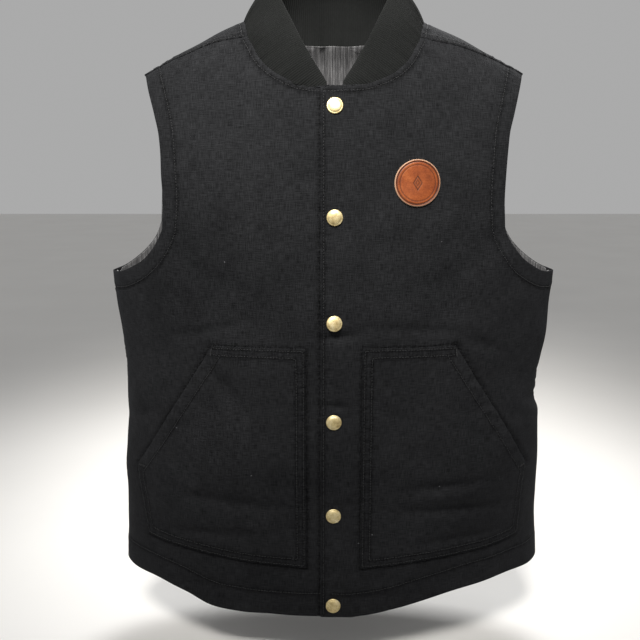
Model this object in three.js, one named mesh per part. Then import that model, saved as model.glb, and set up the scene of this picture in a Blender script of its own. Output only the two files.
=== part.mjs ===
import * as THREE from "three";

// Frame: millimetres, +Z up, the front faces -Y, and the wearer's left is +X.
// The origin lies between the two high shoulder points, where the neck seam crosses the shoulder ridge.

// Body sizes
const LENGTH = 705;
const HALF_WIDTH = 278;
const FRONT_DEPTH = 118;
const BACK_DEPTH = 76;
const CHEST_DROP = 235;
const UNDERARM_DROP = 293;
const TIP_HALF = 225;
const TIP_DROP = 58;
const RIDGE_CROWN = 3;
const NECK_HALF = 106;
const RIDGE_ROUND_HALF = 42.4;
const COLLAR_HEIGHT = 60;
const COLLAR_BULGE = 4;
const BACK_HEM_DROP = 697;
const SECTION_FLATNESS = 2.4;

// Cloth and layers
const CLOTH = 1.5;
const LINING = 1;
const KNIT = 3;
const SEAM_GAP = 0.4;
const LAYER_GAP = 0.3;
const LAP_GAP = 0.5;
const LINING_EASE = 1.6;
const OVERLAP_HALF = 15;
const LAP_FADE_FROM = 19.5;
const LAP_FADE_TO = 36;

// Pockets
const POCKET_INNER = 33;
const POCKET_TOP = 367;
const POCKET_TOP_WIDTH = 107;
const POCKET_WIDTH = 210;
const POCKET_FOOT_WIDTH = 204;
const POCKET_DEPTH = 274;
const POCKET_SLANT = 166;
const POCKET_BOTTOM_RISE = 16;
const POCKET_GAP = 1.1;
const POCKET_BELLY = 3;
const POCKET_OPEN_RIGHT = 1;
const POCKET_OPEN_LEFT = 3;
const POCKET_OPEN_SHARE = 0.2;

// Trim
const SNAP_COUNT = 6;
const SNAP_RADIUS = 9;
const SNAP_HEIGHT = 3.4;
const SNAP_FIRST_DROP = 101;
const SNAP_LAST_RISE = 15;
const SNAP_GAP = 0.6;
const STUD_RADIUS = 7;
const STUD_HEIGHT = 2;
const PATCH_RADIUS = 25.4;
const PATCH_THICKNESS = 2;
const PATCH_ACROSS = 90;
const PATCH_DROP = 182;

// Sections of the body: down is a share of LENGTH, half of HALF_WIDTH, front and back of the two depths;
// corner is the power that turns the section into the side.
const SECTIONS = [
  { down: 0.333, half: 0.985, front: 1, back: 1, corner: 1.45 },
  { down: 0.415, half: 1, front: 1, back: 1, corner: 1.4 },
  { down: 0.52, half: 0.975, front: 0.985, back: 0.98, corner: 1.5 },
  { down: 0.64, half: 0.962, front: 0.965, back: 0.96, corner: 1.6 },
  { down: 0.8, half: 0.975, front: 0.95, back: 0.95, corner: 1.6 },
  { down: 1, half: 1.005, front: 0.95, back: 0.95, corner: 1.6 },
];

// Front hem: across is a share of HALF_WIDTH; right and left are the drops on the wearer's two sides, as shares
// of LENGTH.
const HEM = [
  { across: 0, right: 1, left: 1 },
  { across: 0.14, right: 1, left: 1 },
  { across: 0.27, right: 1, left: 0.99 },
  { across: 0.4, right: 0.999, left: 0.978 },
  { across: 0.53, right: 0.994, left: 0.967 },
  { across: 0.66, right: 0.977, left: 0.96 },
  { across: 0.8, right: 0.965, left: 0.957 },
  { across: 1, right: 0.968, left: 0.962 },
];

// Neck seam from centre front over the ridge to centre back, with the collar's top edge.
// side is -1 on the front and 1 on the back; across is a share of NECK_HALF; turn is the angle up from the chest
// line. inward, aft and rise take the seam to the top edge, as shares of COLLAR_HEIGHT.
const NECK = [
  { side: -1, across: 0.094, turn: 34.9, inward: 0, aft: 0.02, rise: 0.09 },
  { side: -1, across: 0.302, turn: 36.2, inward: 0.14, aft: 0.08, rise: 0.42 },
  { side: -1, across: 0.491, turn: 39.2, inward: 0.25, aft: 0.17, rise: 0.7 },
  { side: -1, across: 0.651, turn: 43.4, inward: 0.33, aft: 0.25, rise: 0.95 },
  { side: -1, across: 0.783, turn: 49.5, inward: 0.39, aft: 0.31, rise: 1.07 },
  { side: -1, across: 0.868, turn: 57, inward: 0.43, aft: 0.36, rise: 1.08 },
  { side: -1, across: 0.92, turn: 63, inward: 0.46, aft: 0.38, rise: 1.04 },
  { side: 1, across: 0.972, turn: 101, inward: 0.53, aft: 0.24, rise: 0.83 },
  { side: 1, across: 0.981, turn: 90, inward: 0.59, aft: 0.13, rise: 0.78 },
  { side: 1, across: 0.896, turn: 77, inward: 0.57, aft: 0.08, rise: 0.81 },
  { side: 1, across: 0.755, turn: 67, inward: 0.5, aft: 0.04, rise: 0.91 },
  { side: 1, across: 0.547, turn: 59, inward: 0.38, aft: -0.03, rise: 1.02 },
  { side: 1, across: 0.283, turn: 54.5, inward: 0.2, aft: -0.06, rise: 1.07 },
  { side: 1, across: 0, turn: 53, inward: 0, aft: -0.06, rise: 1.07 },
];
const NECK_FRONT_ROWS = 7;

// Armhole edges above the chest line: turn as above, across is a share of TIP_HALF.
const ARM_FRONT = [
  { turn: 0, across: 0.876 },
  { turn: 9, across: 0.863 },
  { turn: 19, across: 0.867 },
  { turn: 33, across: 0.88 },
  { turn: 42, across: 0.905 },
  { turn: 55, across: 0.94 },
  { turn: 66, across: 0.964 },
  { turn: 80, across: 0.988 },
];
const ARM_BACK = [
  { turn: 0, across: 0.982 },
  { turn: 15, across: 0.97 },
  { turn: 30, across: 0.967 },
  { turn: 45, across: 0.969 },
  { turn: 60, across: 0.976 },
  { turn: 75, across: 0.989 },
  { turn: 90, across: 1 },
  { turn: 100, across: 0.988 },
];

// Armhole edges below the chest line: along runs from the narrowest place to the side; front and back are shares
// of the drop from the chest line to the underarm corner.
const ARM_FOOT = [
  { along: 0, front: 0, back: 0 },
  { along: 0.1, front: 0.29, back: 0.3 },
  { along: 0.28, front: 0.6, back: 0.55 },
  { along: 0.5, front: 0.8, back: 0.75 },
  { along: 0.74, front: 0.95, back: 0.91 },
  { along: 1, front: 1, back: 1 },
];

// Soft folds pressed along the surface. around is 0 at centre front, 1 at the wearer's left side and 2 at centre
// back, with a minus sign on the wearer's right; down, long and wide are shares of LENGTH; deep is a share of
// FRONT_DEPTH; tilt is in degrees.
const FOLDS = [
  { around: 0.97, down: 0.6, long: 0.1, wide: 0.045, tilt: 12, deep: -0.045 },
  { around: -0.96, down: 0.56, long: 0.11, wide: 0.05, tilt: -10, deep: -0.03 },
  { around: -0.97, down: 0.78, long: 0.12, wide: 0.05, tilt: 8, deep: 0.03 },
  { around: 0.5, down: 0.46, long: 0.16, wide: 0.03, tilt: -14, deep: -0.016 },
  { around: -0.45, down: 0.47, long: 0.16, wide: 0.03, tilt: 12, deep: -0.014 },
  { around: 0.24, down: 0.565, long: 0.18, wide: 0.06, tilt: 4, deep: -0.012 },
  { around: -0.3, down: 0.72, long: 0.2, wide: 0.045, tilt: -6, deep: 0.018 },
  { around: 0.45, down: 0.74, long: 0.2, wide: 0.045, tilt: 8, deep: 0.018 },
  { around: 0.62, down: 0.36, long: 0.1, wide: 0.03, tilt: -38, deep: -0.018 },
  { around: -0.62, down: 0.37, long: 0.1, wide: 0.03, tilt: 38, deep: -0.016 },
  { around: 1.6, down: 0.5, long: 0.22, wide: 0.05, tilt: 10, deep: -0.02 },
  { around: -1.5, down: 0.62, long: 0.22, wide: 0.05, tilt: -8, deep: 0.02 },
];

// How finely the sheets are divided; LAP_COLUMNS are shares of OVERLAP_HALF from the front edge.
const TORSO_ROWS = 11;
const CHEST_ROWS = 5;
const LAP_COLUMNS = [1.13, 2.27, 3.07];
const MIDDLE_COLUMNS = 7;
const FOOT_COLUMNS = 4;
const COLLAR_ROWS = 5;
const POCKET_MOUTH_ROWS = 6;
const POCKET_LOW_ROWS = 4;
const POCKET_COLUMNS = 12;
const PATCH_SPOKES = 28;
const SNAP_SEGMENTS = 12;
const STUD_SEGMENTS = 10;

const mix = (from, to, share) => from + (to - from) * share;
const radians = (degrees) => (degrees * Math.PI) / 180;

// A column of a table read at one place of its key column, on a smooth curve through the rows.
function read(table, key, column, at) {
  const last = table.length - 1;
  let row = 0;
  while (row < last - 1 && at > table[row + 1][key]) row += 1;
  const slope = (index) => {
    const before = table[Math.max(index - 1, 0)];
    const after = table[Math.min(index + 1, last)];
    return (after[column] - before[column]) / (after[key] - before[key]);
  };
  const step = table[row + 1][key] - table[row][key];
  const t = Math.min(1, Math.max(0, (at - table[row][key]) / step));
  const cube = t * t * t;
  const square = t * t;
  return (
    (2 * cube - 3 * square + 1) * table[row][column] +
    (cube - 2 * square + t) * slope(row) * step +
    (3 * square - 2 * cube) * table[row + 1][column] +
    (cube - square) * slope(row + 1) * step
  );
}

// Height of the shoulder ridge at a distance from the middle.
function ridge(x) {
  const reach = (value) => Math.hypot(value, RIDGE_ROUND_HALF);
  const run = (reach(x) - reach(NECK_HALF)) / (reach(TIP_HALF) - reach(NECK_HALF));
  return 4 * RIDGE_CROWN * Math.max(0, run * (1 - run)) - TIP_DROP * run;
}

const halfAt = (z) => HALF_WIDTH * read(SECTIONS, "down", "half", -z / LENGTH);

// Depth of the body at (x, z) at or below the chest line, always positive.
function depthAt(x, z, side) {
  const down = -z / LENGTH;
  const deepest = side < 0 ? FRONT_DEPTH : BACK_DEPTH;
  const full = deepest * read(SECTIONS, "down", side < 0 ? "front" : "back", down);
  const share = Math.min(1, Math.abs(x) / halfAt(z));
  return full * (1 - share ** SECTION_FLATNESS) ** (1 / read(SECTIONS, "down", "corner", down));
}

function foldAt(around, down) {
  let total = 0;
  for (const fold of FOLDS) {
    const x = ((around - fold.around) * HALF_WIDTH) / LENGTH;
    const z = down - fold.down;
    const along = x * Math.cos(radians(fold.tilt)) + z * Math.sin(radians(fold.tilt));
    const across = z * Math.cos(radians(fold.tilt)) - x * Math.sin(radians(fold.tilt));
    total += fold.deep * FRONT_DEPTH * Math.exp(-((along / fold.long) ** 2) - (across / fold.wide) ** 2);
  }
  return total;
}

// A place on the folded body surface, with its outward normal.
function place(x, y, z, normal, around) {
  normal.normalize();
  const point = new THREE.Vector3(x, y, z).addScaledVector(normal, foldAt(around, -z / LENGTH));
  return { point, normal };
}

const aroundAt = (share, side) => (side < 0 ? share : Math.sign(share) * (2 - Math.abs(share)));

function torsoPlace(x, z, side) {
  const half = halfAt(z);
  const down = -z / LENGTH;
  const corner = read(SECTIONS, "down", "corner", down);
  const full = depthAt(0, z, side);
  const depth = depthAt(x, z, side);
  const share = Math.min(1, Math.abs(x) / half);
  const normal = new THREE.Vector3(
    (Math.sign(x) * SECTION_FLATNESS * share ** (SECTION_FLATNESS - 1)) / half,
    (side * corner * (depth / full) ** (corner - 1)) / full,
    0,
  );
  return place(x, side * Math.max(depth, SEAM_GAP / 2), z, normal, aroundAt(Math.sign(x) * share, side));
}

// Above the chest line the body rolls up over the shoulder; turn over 90 degrees has passed the ridge.
function chestPlace(x, turn, side) {
  const facing = turn > 90 ? -side : side;
  const high = ridge(x) + CHEST_DROP;
  const deep = depthAt(x, -CHEST_DROP, facing);
  const ahead = depthAt(x + 0.5, -CHEST_DROP, facing) - depthAt(x - 0.5, -CHEST_DROP, facing);
  const climb = ridge(x + 0.5) - ridge(x - 0.5);
  const flat = Math.cos(radians(turn));
  const up = Math.sin(radians(turn));
  const sideways = (-flat * flat * ahead) / deep - (up * up * climb) / high;
  const normal = new THREE.Vector3(sideways, (side * flat) / deep, up / high);
  return place(x, side * flat * deep, high * up - CHEST_DROP, normal, aroundAt(x / HALF_WIDTH, facing));
}

// A sheet of cloth: places welded where they meet, faces between them, and walls along every free edge.
class Sheet {
  constructor() {
    this.spots = [];
    this.byKey = new Map();
    this.faces = [];
  }

  spot(at, outer, inner) {
    const key = at.point.toArray().map((value) => Math.round(value * 1000)).join();
    if (!this.byKey.has(key)) {
      this.byKey.set(key, this.spots.length);
      this.spots.push({ at, outer, inner });
    }
    return this.byKey.get(key);
  }

  distance(a, b) {
    return this.spots[a].at.point.distanceTo(this.spots[b].at.point);
  }

  triangle(a, b, c) {
    if (a === b || b === c || a === c) return;
    const [p, q, r] = [a, b, c].map((index) => this.spots[index].at);
    const facing = q.point.clone().sub(p.point).cross(r.point.clone().sub(p.point));
    const ahead = facing.dot(p.normal.clone().add(q.normal).add(r.normal)) > 0;
    this.faces.push(ahead ? [a, b, c] : [a, c, b]);
  }

  grid(rows) {
    for (let i = 1; i < rows.length; i += 1) {
      for (let j = 1; j < rows[i].length; j += 1) {
        const [a, b, c, d] = [rows[i - 1][j - 1], rows[i - 1][j], rows[i][j], rows[i][j - 1]];
        if (this.distance(a, c) <= this.distance(b, d)) {
          this.triangle(a, b, c);
          this.triangle(a, c, d);
        } else {
          this.triangle(a, b, d);
          this.triangle(b, c, d);
        }
      }
    }
  }

  geometry() {
    const count = this.spots.length;
    const points = [];
    for (const layer of ["outer", "inner"]) {
      for (const spot of this.spots) {
        points.push(...spot.at.point.clone().addScaledVector(spot.at.normal, spot[layer]).toArray());
      }
    }
    const edges = new Set(this.faces.flatMap(([a, b, c]) => [`${a},${b}`, `${b},${c}`, `${c},${a}`]));
    const index = [];
    for (const [a, b, c] of this.faces) {
      index.push(a, b, c, c + count, b + count, a + count);
      for (const [from, to] of [[a, b], [b, c], [c, a]]) {
        if (!edges.has(`${to},${from}`)) index.push(to, from, from + count, to, from + count, to + count);
      }
    }
    const geometry = new THREE.BufferGeometry();
    geometry.setAttribute("position", new THREE.Float32BufferAttribute(points, 3));
    geometry.setIndex(index);
    return geometry;
  }
}

// Shares across a row from the inner edge to the armhole; the first three columns frame the front overlap.
function columnShares(edge, armhole) {
  const shares = [0];
  if (edge < 0) shares.push(...LAP_COLUMNS.map((share) => (share * OVERLAP_HALF) / (armhole - edge)));
  const from = shares[shares.length - 1];
  const rest = edge < 0 ? MIDDLE_COLUMNS : MIDDLE_COLUMNS + 3;
  for (let i = 1; i <= rest; i += 1) shares.push(mix(from, 1, i / rest));
  return shares;
}

// One half of the front or back as two fields of places that share the chest line.
// edge is the inner edge's x before mirroring, hand is -1 on the wearer's right.
function halfPanel(side, hand, edge) {
  const armRows = side < 0 ? ARM_FRONT : ARM_BACK;
  const foot = side < 0 ? "front" : "back";
  const topTurn = armRows[armRows.length - 1].turn;
  const armX = TIP_HALF * armRows[0].across;
  const shares = columnShares(edge, armX);
  const chestHalf = halfAt(-CHEST_DROP);
  const armShare = (armX - edge) / (chestHalf - edge);
  const across = shares.map((share) => share * armShare);
  for (let i = 1; i <= FOOT_COLUMNS; i += 1) {
    across.push(mix(armShare, 1, Math.sin((Math.PI / 2) * (i / FOOT_COLUMNS))));
  }
  const top = (share) => {
    const along = Math.max(0, (share - armShare) / (1 - armShare));
    return -mix(CHEST_DROP, UNDERARM_DROP, read(ARM_FOOT, "along", foot, along));
  };
  const handed = hand < 0 ? "right" : "left";
  const hem = (share) => {
    const at = (edge + share * (HALF_WIDTH - edge)) / HALF_WIDTH;
    if (side < 0) return -LENGTH * read(HEM, "across", handed, Math.max(0, at));
    return -mix(BACK_HEM_DROP, LENGTH * read(HEM, "across", handed, 1), at * at);
  };
  const torso = [];
  for (let i = 0; i <= TORSO_ROWS; i += 1) {
    torso.push(
      across.map((share) => {
        const z = mix(hem(share), top(share), i / TORSO_ROWS);
        return torsoPlace(hand * mix(edge, halfAt(z), share), z, side);
      }),
    );
  }
  const backNeck = NECK.slice(NECK_FRONT_ROWS - 1).reverse();
  const neckRows = side < 0 ? NECK.slice(0, NECK_FRONT_ROWS) : backNeck;
  const lower = side < 0 ? CHEST_ROWS : CHEST_ROWS + 1;
  const inner = [];
  for (let i = 0; i <= lower; i += 1) inner.push({ x: edge, turn: (neckRows[0].turn * i) / lower });
  for (const row of side < 0 ? neckRows : neckRows.slice(1)) {
    inner.push({ x: NECK_HALF * row.across, turn: row.side === side ? row.turn : 180 - row.turn });
  }
  const away = (SEAM_GAP / 2 / FRONT_DEPTH) * (180 / Math.PI);
  inner[inner.length - 1].turn -= away;
  const chest = inner.map((start, i) => {
    if (i === 0) return torso[TORSO_ROWS].slice(0, shares.length);
    const turn = ((topTurn - away) * i) / (inner.length - 1);
    const arm = TIP_HALF * read(armRows, "turn", "across", turn);
    return shares.map((share) => chestPlace(hand * mix(start.x, arm, share), mix(start.turn, turn, share), side));
  });
  return { torso, chest };
}

// Lift of the wearer's left front where it laps over the other one.
function lapLift(point) {
  const share = (LAP_FADE_TO - point.x) / (LAP_FADE_TO - LAP_FADE_FROM);
  return (CLOTH + LAP_GAP) * Math.min(1, Math.max(0, share));
}

const materials = {
  canvas: { color: 0x1e2023, roughness: 0.92 },
  knit: { color: 0x17181b, roughness: 0.95 },
  lining: { color: 0x8a8c90, roughness: 0.7 },
  leather: { color: 0x8c3f1d, roughness: 0.6 },
  brass: { color: 0xb59a5a, roughness: 0.4, metalness: 0.9 },
};

const vest = new THREE.Group();

function add(name, geometry, look) {
  geometry.computeVertexNormals();
  const mesh = new THREE.Mesh(geometry, new THREE.MeshStandardMaterial(materials[look]));
  mesh.name = name;
  vest.add(mesh);
  return mesh;
}

// Outer cloth
function clothSheet(halves, lift) {
  const sheet = new Sheet();
  for (const half of halves) {
    for (const field of [half.torso, half.chest]) {
      sheet.grid(field.map((row) => row.map((at) => sheet.spot(at, lift(at.point), lift(at.point) - CLOTH))));
    }
  }
  return sheet.geometry();
}

const frontRight = halfPanel(-1, -1, -OVERLAP_HALF);
const frontLeft = halfPanel(-1, 1, -OVERLAP_HALF);
const backRight = halfPanel(1, -1, 0);
const backLeft = halfPanel(1, 1, 0);
const panelRight = add("front_panel_right", clothSheet([frontRight], () => 0), "canvas");
const panelLeft = add("front_panel_left", clothSheet([frontLeft], lapLift), "canvas");
add("back_panel", clothSheet([backRight, backLeft], () => 0), "canvas");

// Lining: every second column of the cloth's field, slack in the middle and close to the cloth along its edges
function liningSheet(halves, first) {
  const sheet = new Sheet();
  const outer = -CLOTH - LAYER_GAP;
  for (const half of halves) {
    const chestLast = half.chest[0].length - 1;
    const torsoLast = half.torso[0].length - 1;
    const chestColumns = half.chest[0].map((_, i) => i).filter((i) => i >= first && (i - first) % 2 === 0);
    if (chestColumns[chestColumns.length - 1] !== chestLast) chestColumns.push(chestLast);
    const torsoColumns = [...chestColumns];
    for (let i = chestLast + 1; i <= torsoLast; i += 1) torsoColumns.push(i);
    const spot = (at, edge) => {
      const level = edge ? outer : outer - LINING_EASE;
      return sheet.spot(at, level, level - LINING);
    };
    sheet.grid(
      half.torso.slice(1).map((row, n) =>
        torsoColumns.map((column, i) => {
          const topEdge = n === TORSO_ROWS - 1 && column >= chestLast;
          return spot(row[column], n === 0 || topEdge || i === torsoColumns.length - 1);
        }),
      ),
    );
    sheet.grid(
      half.chest.map((row) =>
        chestColumns.map((column, i) => spot(row[column], i === chestColumns.length - 1)),
      ),
    );
  }
  return sheet.geometry();
}

add("lining_front_right", liningSheet([frontRight], 2), "lining");
add("lining_front_left", liningSheet([frontLeft], 2), "lining");
add("lining_back", liningSheet([backRight, backLeft], 0), "lining");

// Rib knit collar: a band that stands on the neck seam and leans inwards
function collarSheet() {
  const half = NECK.map((row) => ({ ...row, hand: 1 }));
  const mirrored = NECK.slice(0, -1).map((row) => ({ ...row, hand: -1 }));
  const stations = [...mirrored, ...half.reverse()];
  const seam = stations.map((row) => chestPlace(row.hand * row.across * NECK_HALF, row.turn, row.side));
  const columns = seam.map((at, i) => {
    const row = stations[i];
    const before = seam[Math.max(i - 1, 0)].point;
    const after = seam[Math.min(i + 1, seam.length - 1)].point;
    const along = after.clone().sub(before).normalize();
    const into = at.normal.clone().cross(along).normalize();
    const lean = new THREE.Vector3(-row.hand * row.inward, row.aft, row.rise).multiplyScalar(COLLAR_HEIGHT);
    if (into.dot(lean) < 0) into.negate();
    const facing = along.clone().cross(lean.clone().normalize()).normalize();
    if (facing.dot(at.normal) < 0) facing.negate();
    const clear = SEAM_GAP + 0.5 * KNIT * Math.max(0, -facing.dot(into));
    const base = at.point.clone().addScaledVector(into, clear).addScaledVector(at.normal, -0.5 * KNIT);
    const top = at.point.clone().addScaledVector(at.normal, -0.5 * KNIT).add(lean);
    const line = [];
    for (let k = 0; k <= COLLAR_ROWS; k += 1) {
      const share = k / COLLAR_ROWS;
      const bulge = 4 * COLLAR_BULGE * row.rise * share * (1 - share);
      line.push({ point: base.clone().lerp(top, share).addScaledVector(facing, bulge), normal: facing });
    }
    return line;
  });
  const sheet = new Sheet();
  sheet.grid(columns.map((line) => line.map((at) => sheet.spot(at, KNIT / 2, -KNIT / 2))));
  return sheet.geometry();
}

add("collar_rib", collarSheet(), "knit");

// Patch pockets with a slanted side opening
function pocketSheet(hand, open) {
  const outerEdge = [
    { drop: 0, reach: POCKET_TOP_WIDTH },
    { drop: POCKET_SLANT, reach: POCKET_WIDTH },
    { drop: POCKET_DEPTH, reach: POCKET_FOOT_WIDTH },
  ];
  const reachAt = (drop) => {
    const [from, to] = drop < POCKET_SLANT ? outerEdge.slice(0, 2) : outerEdge.slice(1);
    return mix(from.reach, to.reach, Math.min(1, (drop - from.drop) / (to.drop - from.drop)));
  };
  const drops = [];
  for (let i = 0; i < POCKET_MOUTH_ROWS; i += 1) drops.push((POCKET_SLANT * i) / POCKET_MOUTH_ROWS);
  for (let i = 0; i <= POCKET_LOW_ROWS; i += 1) drops.push(mix(POCKET_SLANT, POCKET_DEPTH, i / POCKET_LOW_ROWS));
  const sheet = new Sheet();
  sheet.grid(
    drops.map((drop) => {
      const row = [];
      for (let i = 0; i <= POCKET_COLUMNS; i += 1) {
        const share = i / POCKET_COLUMNS;
        const low = Math.max(0, (drop - POCKET_SLANT) / (POCKET_DEPTH - POCKET_SLANT));
        const z = -POCKET_TOP - drop + low * POCKET_BOTTOM_RISE * share;
        const x = hand * (POCKET_INNER + share * reachAt(drop));
        const down = drop / POCKET_DEPTH;
        const belly = POCKET_BELLY * 4 * down * (1 - down) * Math.sin(Math.PI * share);
        const nearEdge = Math.max(0, 1 - (1 - share) / POCKET_OPEN_SHARE);
        const mouth = open * Math.sin(Math.PI * Math.min(1, drop / POCKET_SLANT)) * nearEdge;
        const level = POCKET_GAP + belly + mouth;
        row.push(sheet.spot(torsoPlace(x, z, -1), level + CLOTH, level));
      }
      return row;
    }),
  );
  return sheet.geometry();
}

add("pocket_right", pocketSheet(-1, POCKET_OPEN_RIGHT), "canvas");
add("pocket_left", pocketSheet(1, POCKET_OPEN_LEFT), "canvas");

// The body place at (x, z) on the front, above or below the chest line
function frontPlace(x, z) {
  if (z <= -CHEST_DROP) return torsoPlace(x, z, -1);
  const up = (z + CHEST_DROP) / (ridge(x) + CHEST_DROP);
  return chestPlace(x, (Math.asin(Math.min(1, up)) * 180) / Math.PI, -1);
}

// Round leather patch on the wearer's left chest, laid over the cloth
function patchSheet() {
  const sheet = new Sheet();
  const ring = (radius) => {
    const row = [];
    for (let i = 0; i <= PATCH_SPOKES; i += 1) {
      const angle = (2 * Math.PI * (i % PATCH_SPOKES)) / PATCH_SPOKES;
      const at = frontPlace(PATCH_ACROSS + radius * Math.cos(angle), radius * Math.sin(angle) - PATCH_DROP);
      row.push(sheet.spot(at, LAYER_GAP + PATCH_THICKNESS, LAYER_GAP));
    }
    return row;
  };
  sheet.grid([ring(0), ring(PATCH_RADIUS / 2), ring(PATCH_RADIUS)]);
  return sheet.geometry();
}

add("leather_patch", patchSheet(), "leather");

// Snaps: a domed cap with a rolled rim outside, a plain stud inside
const capProfile = [
  [0, 0],
  [0.93, 0],
  [1, 0.16],
  [0.98, 0.36],
  [0.86, 0.5],
  [0.72, 0.74],
  [0.42, 0.95],
  [0, 1],
].map(([radius, height]) => new THREE.Vector2(radius * SNAP_RADIUS, height * SNAP_HEIGHT));
const studProfile = [
  [0, 0],
  [1, 0],
  [1, 0.7],
  [0.85, 1],
  [0, 1],
].map(([radius, height]) => new THREE.Vector2(radius * STUD_RADIUS, height * STUD_HEIGHT));

// A point of a panel's own face on the centre line at height z, met first on the way from a start in front or inside
function facePoint(cloth, z, start) {
  const way = new THREE.Vector3(0, start < 0 ? 1 : -1, 0);
  return new THREE.Raycaster(new THREE.Vector3(0, start, z), way).intersectObject(cloth)[0].point;
}

function addSnap(name, profile, segments, at, seat, out) {
  const mesh = add(name, new THREE.LatheGeometry(profile, segments), "brass");
  const axis = at.normal.clone().multiplyScalar(out);
  mesh.quaternion.setFromUnitVectors(new THREE.Vector3(0, 1, 0), axis);
  mesh.position.copy(seat).addScaledVector(axis, SNAP_GAP);
}

const snapPitch = (LENGTH - SNAP_LAST_RISE - SNAP_FIRST_DROP) / (SNAP_COUNT - 1);
for (let i = 0; i < SNAP_COUNT; i += 1) {
  const z = -SNAP_FIRST_DROP - i * snapPitch;
  const at = frontPlace(0, z);
  addSnap(`snap_cap_${i + 1}`, capProfile, SNAP_SEGMENTS, at, facePoint(panelLeft, z, -2 * FRONT_DEPTH), 1);
  addSnap(`snap_stud_${i + 1}`, studProfile, STUD_SEGMENTS, at, facePoint(panelRight, z, 0), -1);
}

export default vest;
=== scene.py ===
import math

import bpy
import numpy as np
from mathutils.bvhtree import BVHTree
from mathutils.kdtree import KDTree
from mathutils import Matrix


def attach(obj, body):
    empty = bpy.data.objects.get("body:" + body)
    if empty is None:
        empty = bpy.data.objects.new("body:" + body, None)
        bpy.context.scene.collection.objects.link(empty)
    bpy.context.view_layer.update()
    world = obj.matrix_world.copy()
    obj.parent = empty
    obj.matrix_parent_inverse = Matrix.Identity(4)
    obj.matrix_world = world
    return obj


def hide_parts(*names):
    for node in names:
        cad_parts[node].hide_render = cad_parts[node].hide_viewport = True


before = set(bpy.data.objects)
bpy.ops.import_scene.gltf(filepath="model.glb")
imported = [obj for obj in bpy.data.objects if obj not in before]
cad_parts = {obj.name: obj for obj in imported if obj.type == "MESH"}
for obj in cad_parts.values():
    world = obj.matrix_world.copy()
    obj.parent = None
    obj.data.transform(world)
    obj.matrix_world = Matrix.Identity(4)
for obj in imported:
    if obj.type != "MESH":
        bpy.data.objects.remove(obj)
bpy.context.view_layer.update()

# Sizes are in millimetres, as in the CAD part; meshes are made in metres.
MM = 0.001
LENGTH = 705.0
HALF_WIDTH = 278.0
FRONT_DEPTH = 118.0
BACK_DEPTH = 76.0
CHEST_DROP = 235.0
UNDERARM_DROP = 293.0
TIP_HALF = 225.0
TIP_DROP = 58.0
RIDGE_CROWN = 3.0
RIDGE_ROUND_HALF = 42.4
NECK_HALF = 106.0
NECK_DROP = 88.0
COLLAR_HEIGHT = 60.0
COLLAR_BULGE = 4.0
COLLAR_DEPTH = 2.6
BACK_HEM_DROP = 697.0
FLATNESS = 2.4

CLOTH = 1.5
LINING = 1.0
KNIT = 3.0
SEAM_GAP = 0.4
LAP_LIFT = 2.0
OVERLAP_HALF = 15.0
LAP_FADE_FROM = 19.5
LAP_FADE_TO = 36.0

# Turned margins, and stitch rows inside the edges
HEM_TURN = 30.0
ARM_TURN = 19.0
NECK_TURN = 5.5
FRONT_TURN = 3.2
SHOULDER_ROWS = (1.8, 8.5)
SIDE_ROWS = (2.2, 9.0)
POCKET_ROWS = (2.2, 10.4)
MOUTH_TURN = 14.0
LINING_DEPTH = 2.7

POCKET_INNER = 33.0
POCKET_TOP = 367.0
POCKET_TOP_WIDTH = 107.0
POCKET_WIDTH = 210.0
POCKET_FOOT_WIDTH = 204.0
POCKET_DEPTH = 274.0
POCKET_SLANT = 166.0
POCKET_BOTTOM_RISE = 16.0
POCKET_BELLY = 3.2
BAR_STITCHES = 9

SNAP_COUNT = 6
SNAP_RADIUS = 9.0
SNAP_HEIGHT = 3.4
SNAP_FIRST_DROP = 101.0
SNAP_LAST_RISE = 15.0
STUD_RADIUS = 7.0
STUD_HEIGHT = 2.6
PATCH_RADIUS = 25.4
PATCH_THICKNESS = 2.0
PATCH_ACROSS = 90.0
PATCH_DROP = 182.0

# Sections of the body: down, half width, front depth, back depth, corner power, as in the CAD part
SECTIONS = np.array([
    (0.333, 0.985, 1, 1, 1.45), (0.415, 1, 1, 1, 1.4), (0.52, 0.975, 0.985, 0.98, 1.5),
    (0.64, 0.962, 0.965, 0.96, 1.6), (0.8, 0.975, 0.95, 0.95, 1.6), (1, 1.005, 0.95, 0.95, 1.6),
])
# Front hem: across, drop on the wearer's right, drop on the left
HEM = np.array([
    (0, 1, 1), (0.14, 1, 1), (0.27, 1, 0.99), (0.4, 0.999, 0.978), (0.53, 0.994, 0.967), (0.66, 0.977, 0.96),
    (0.8, 0.965, 0.957), (1, 0.968, 0.962),
])
# Neck seam from centre front to centre back: across, sweep over the shoulder in degrees, then the collar's lean
# inward, aft and up. A mirrored last row keeps the seam smooth at centre back.
NECK = np.array([
    (0.094, 34.9, 0, 0.02, 0.09), (0.302, 36.2, 0.14, 0.08, 0.42), (0.491, 39.2, 0.25, 0.17, 0.7),
    (0.651, 43.4, 0.33, 0.25, 0.95), (0.783, 49.5, 0.39, 0.31, 1.07), (0.868, 57, 0.43, 0.36, 1.08),
    (0.92, 63, 0.46, 0.38, 1.04), (0.972, 79, 0.53, 0.24, 0.83), (0.981, 90, 0.59, 0.13, 0.78),
    (0.896, 103, 0.57, 0.08, 0.81), (0.755, 113, 0.5, 0.04, 0.91), (0.547, 121, 0.38, -0.03, 1.02),
    (0.283, 125.5, 0.2, -0.06, 1.07), (0, 127, 0, -0.06, 1.07), (-0.283, 125.5, -0.2, -0.06, 1.07),
])
NECK_FRONT_LAST = 6
NECK_BACK_LAST = 13
ARM_FRONT = np.array([
    (0, 0.876), (9, 0.863), (19, 0.867), (33, 0.88), (42, 0.905), (55, 0.94), (66, 0.964), (80, 0.988),
])
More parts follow.
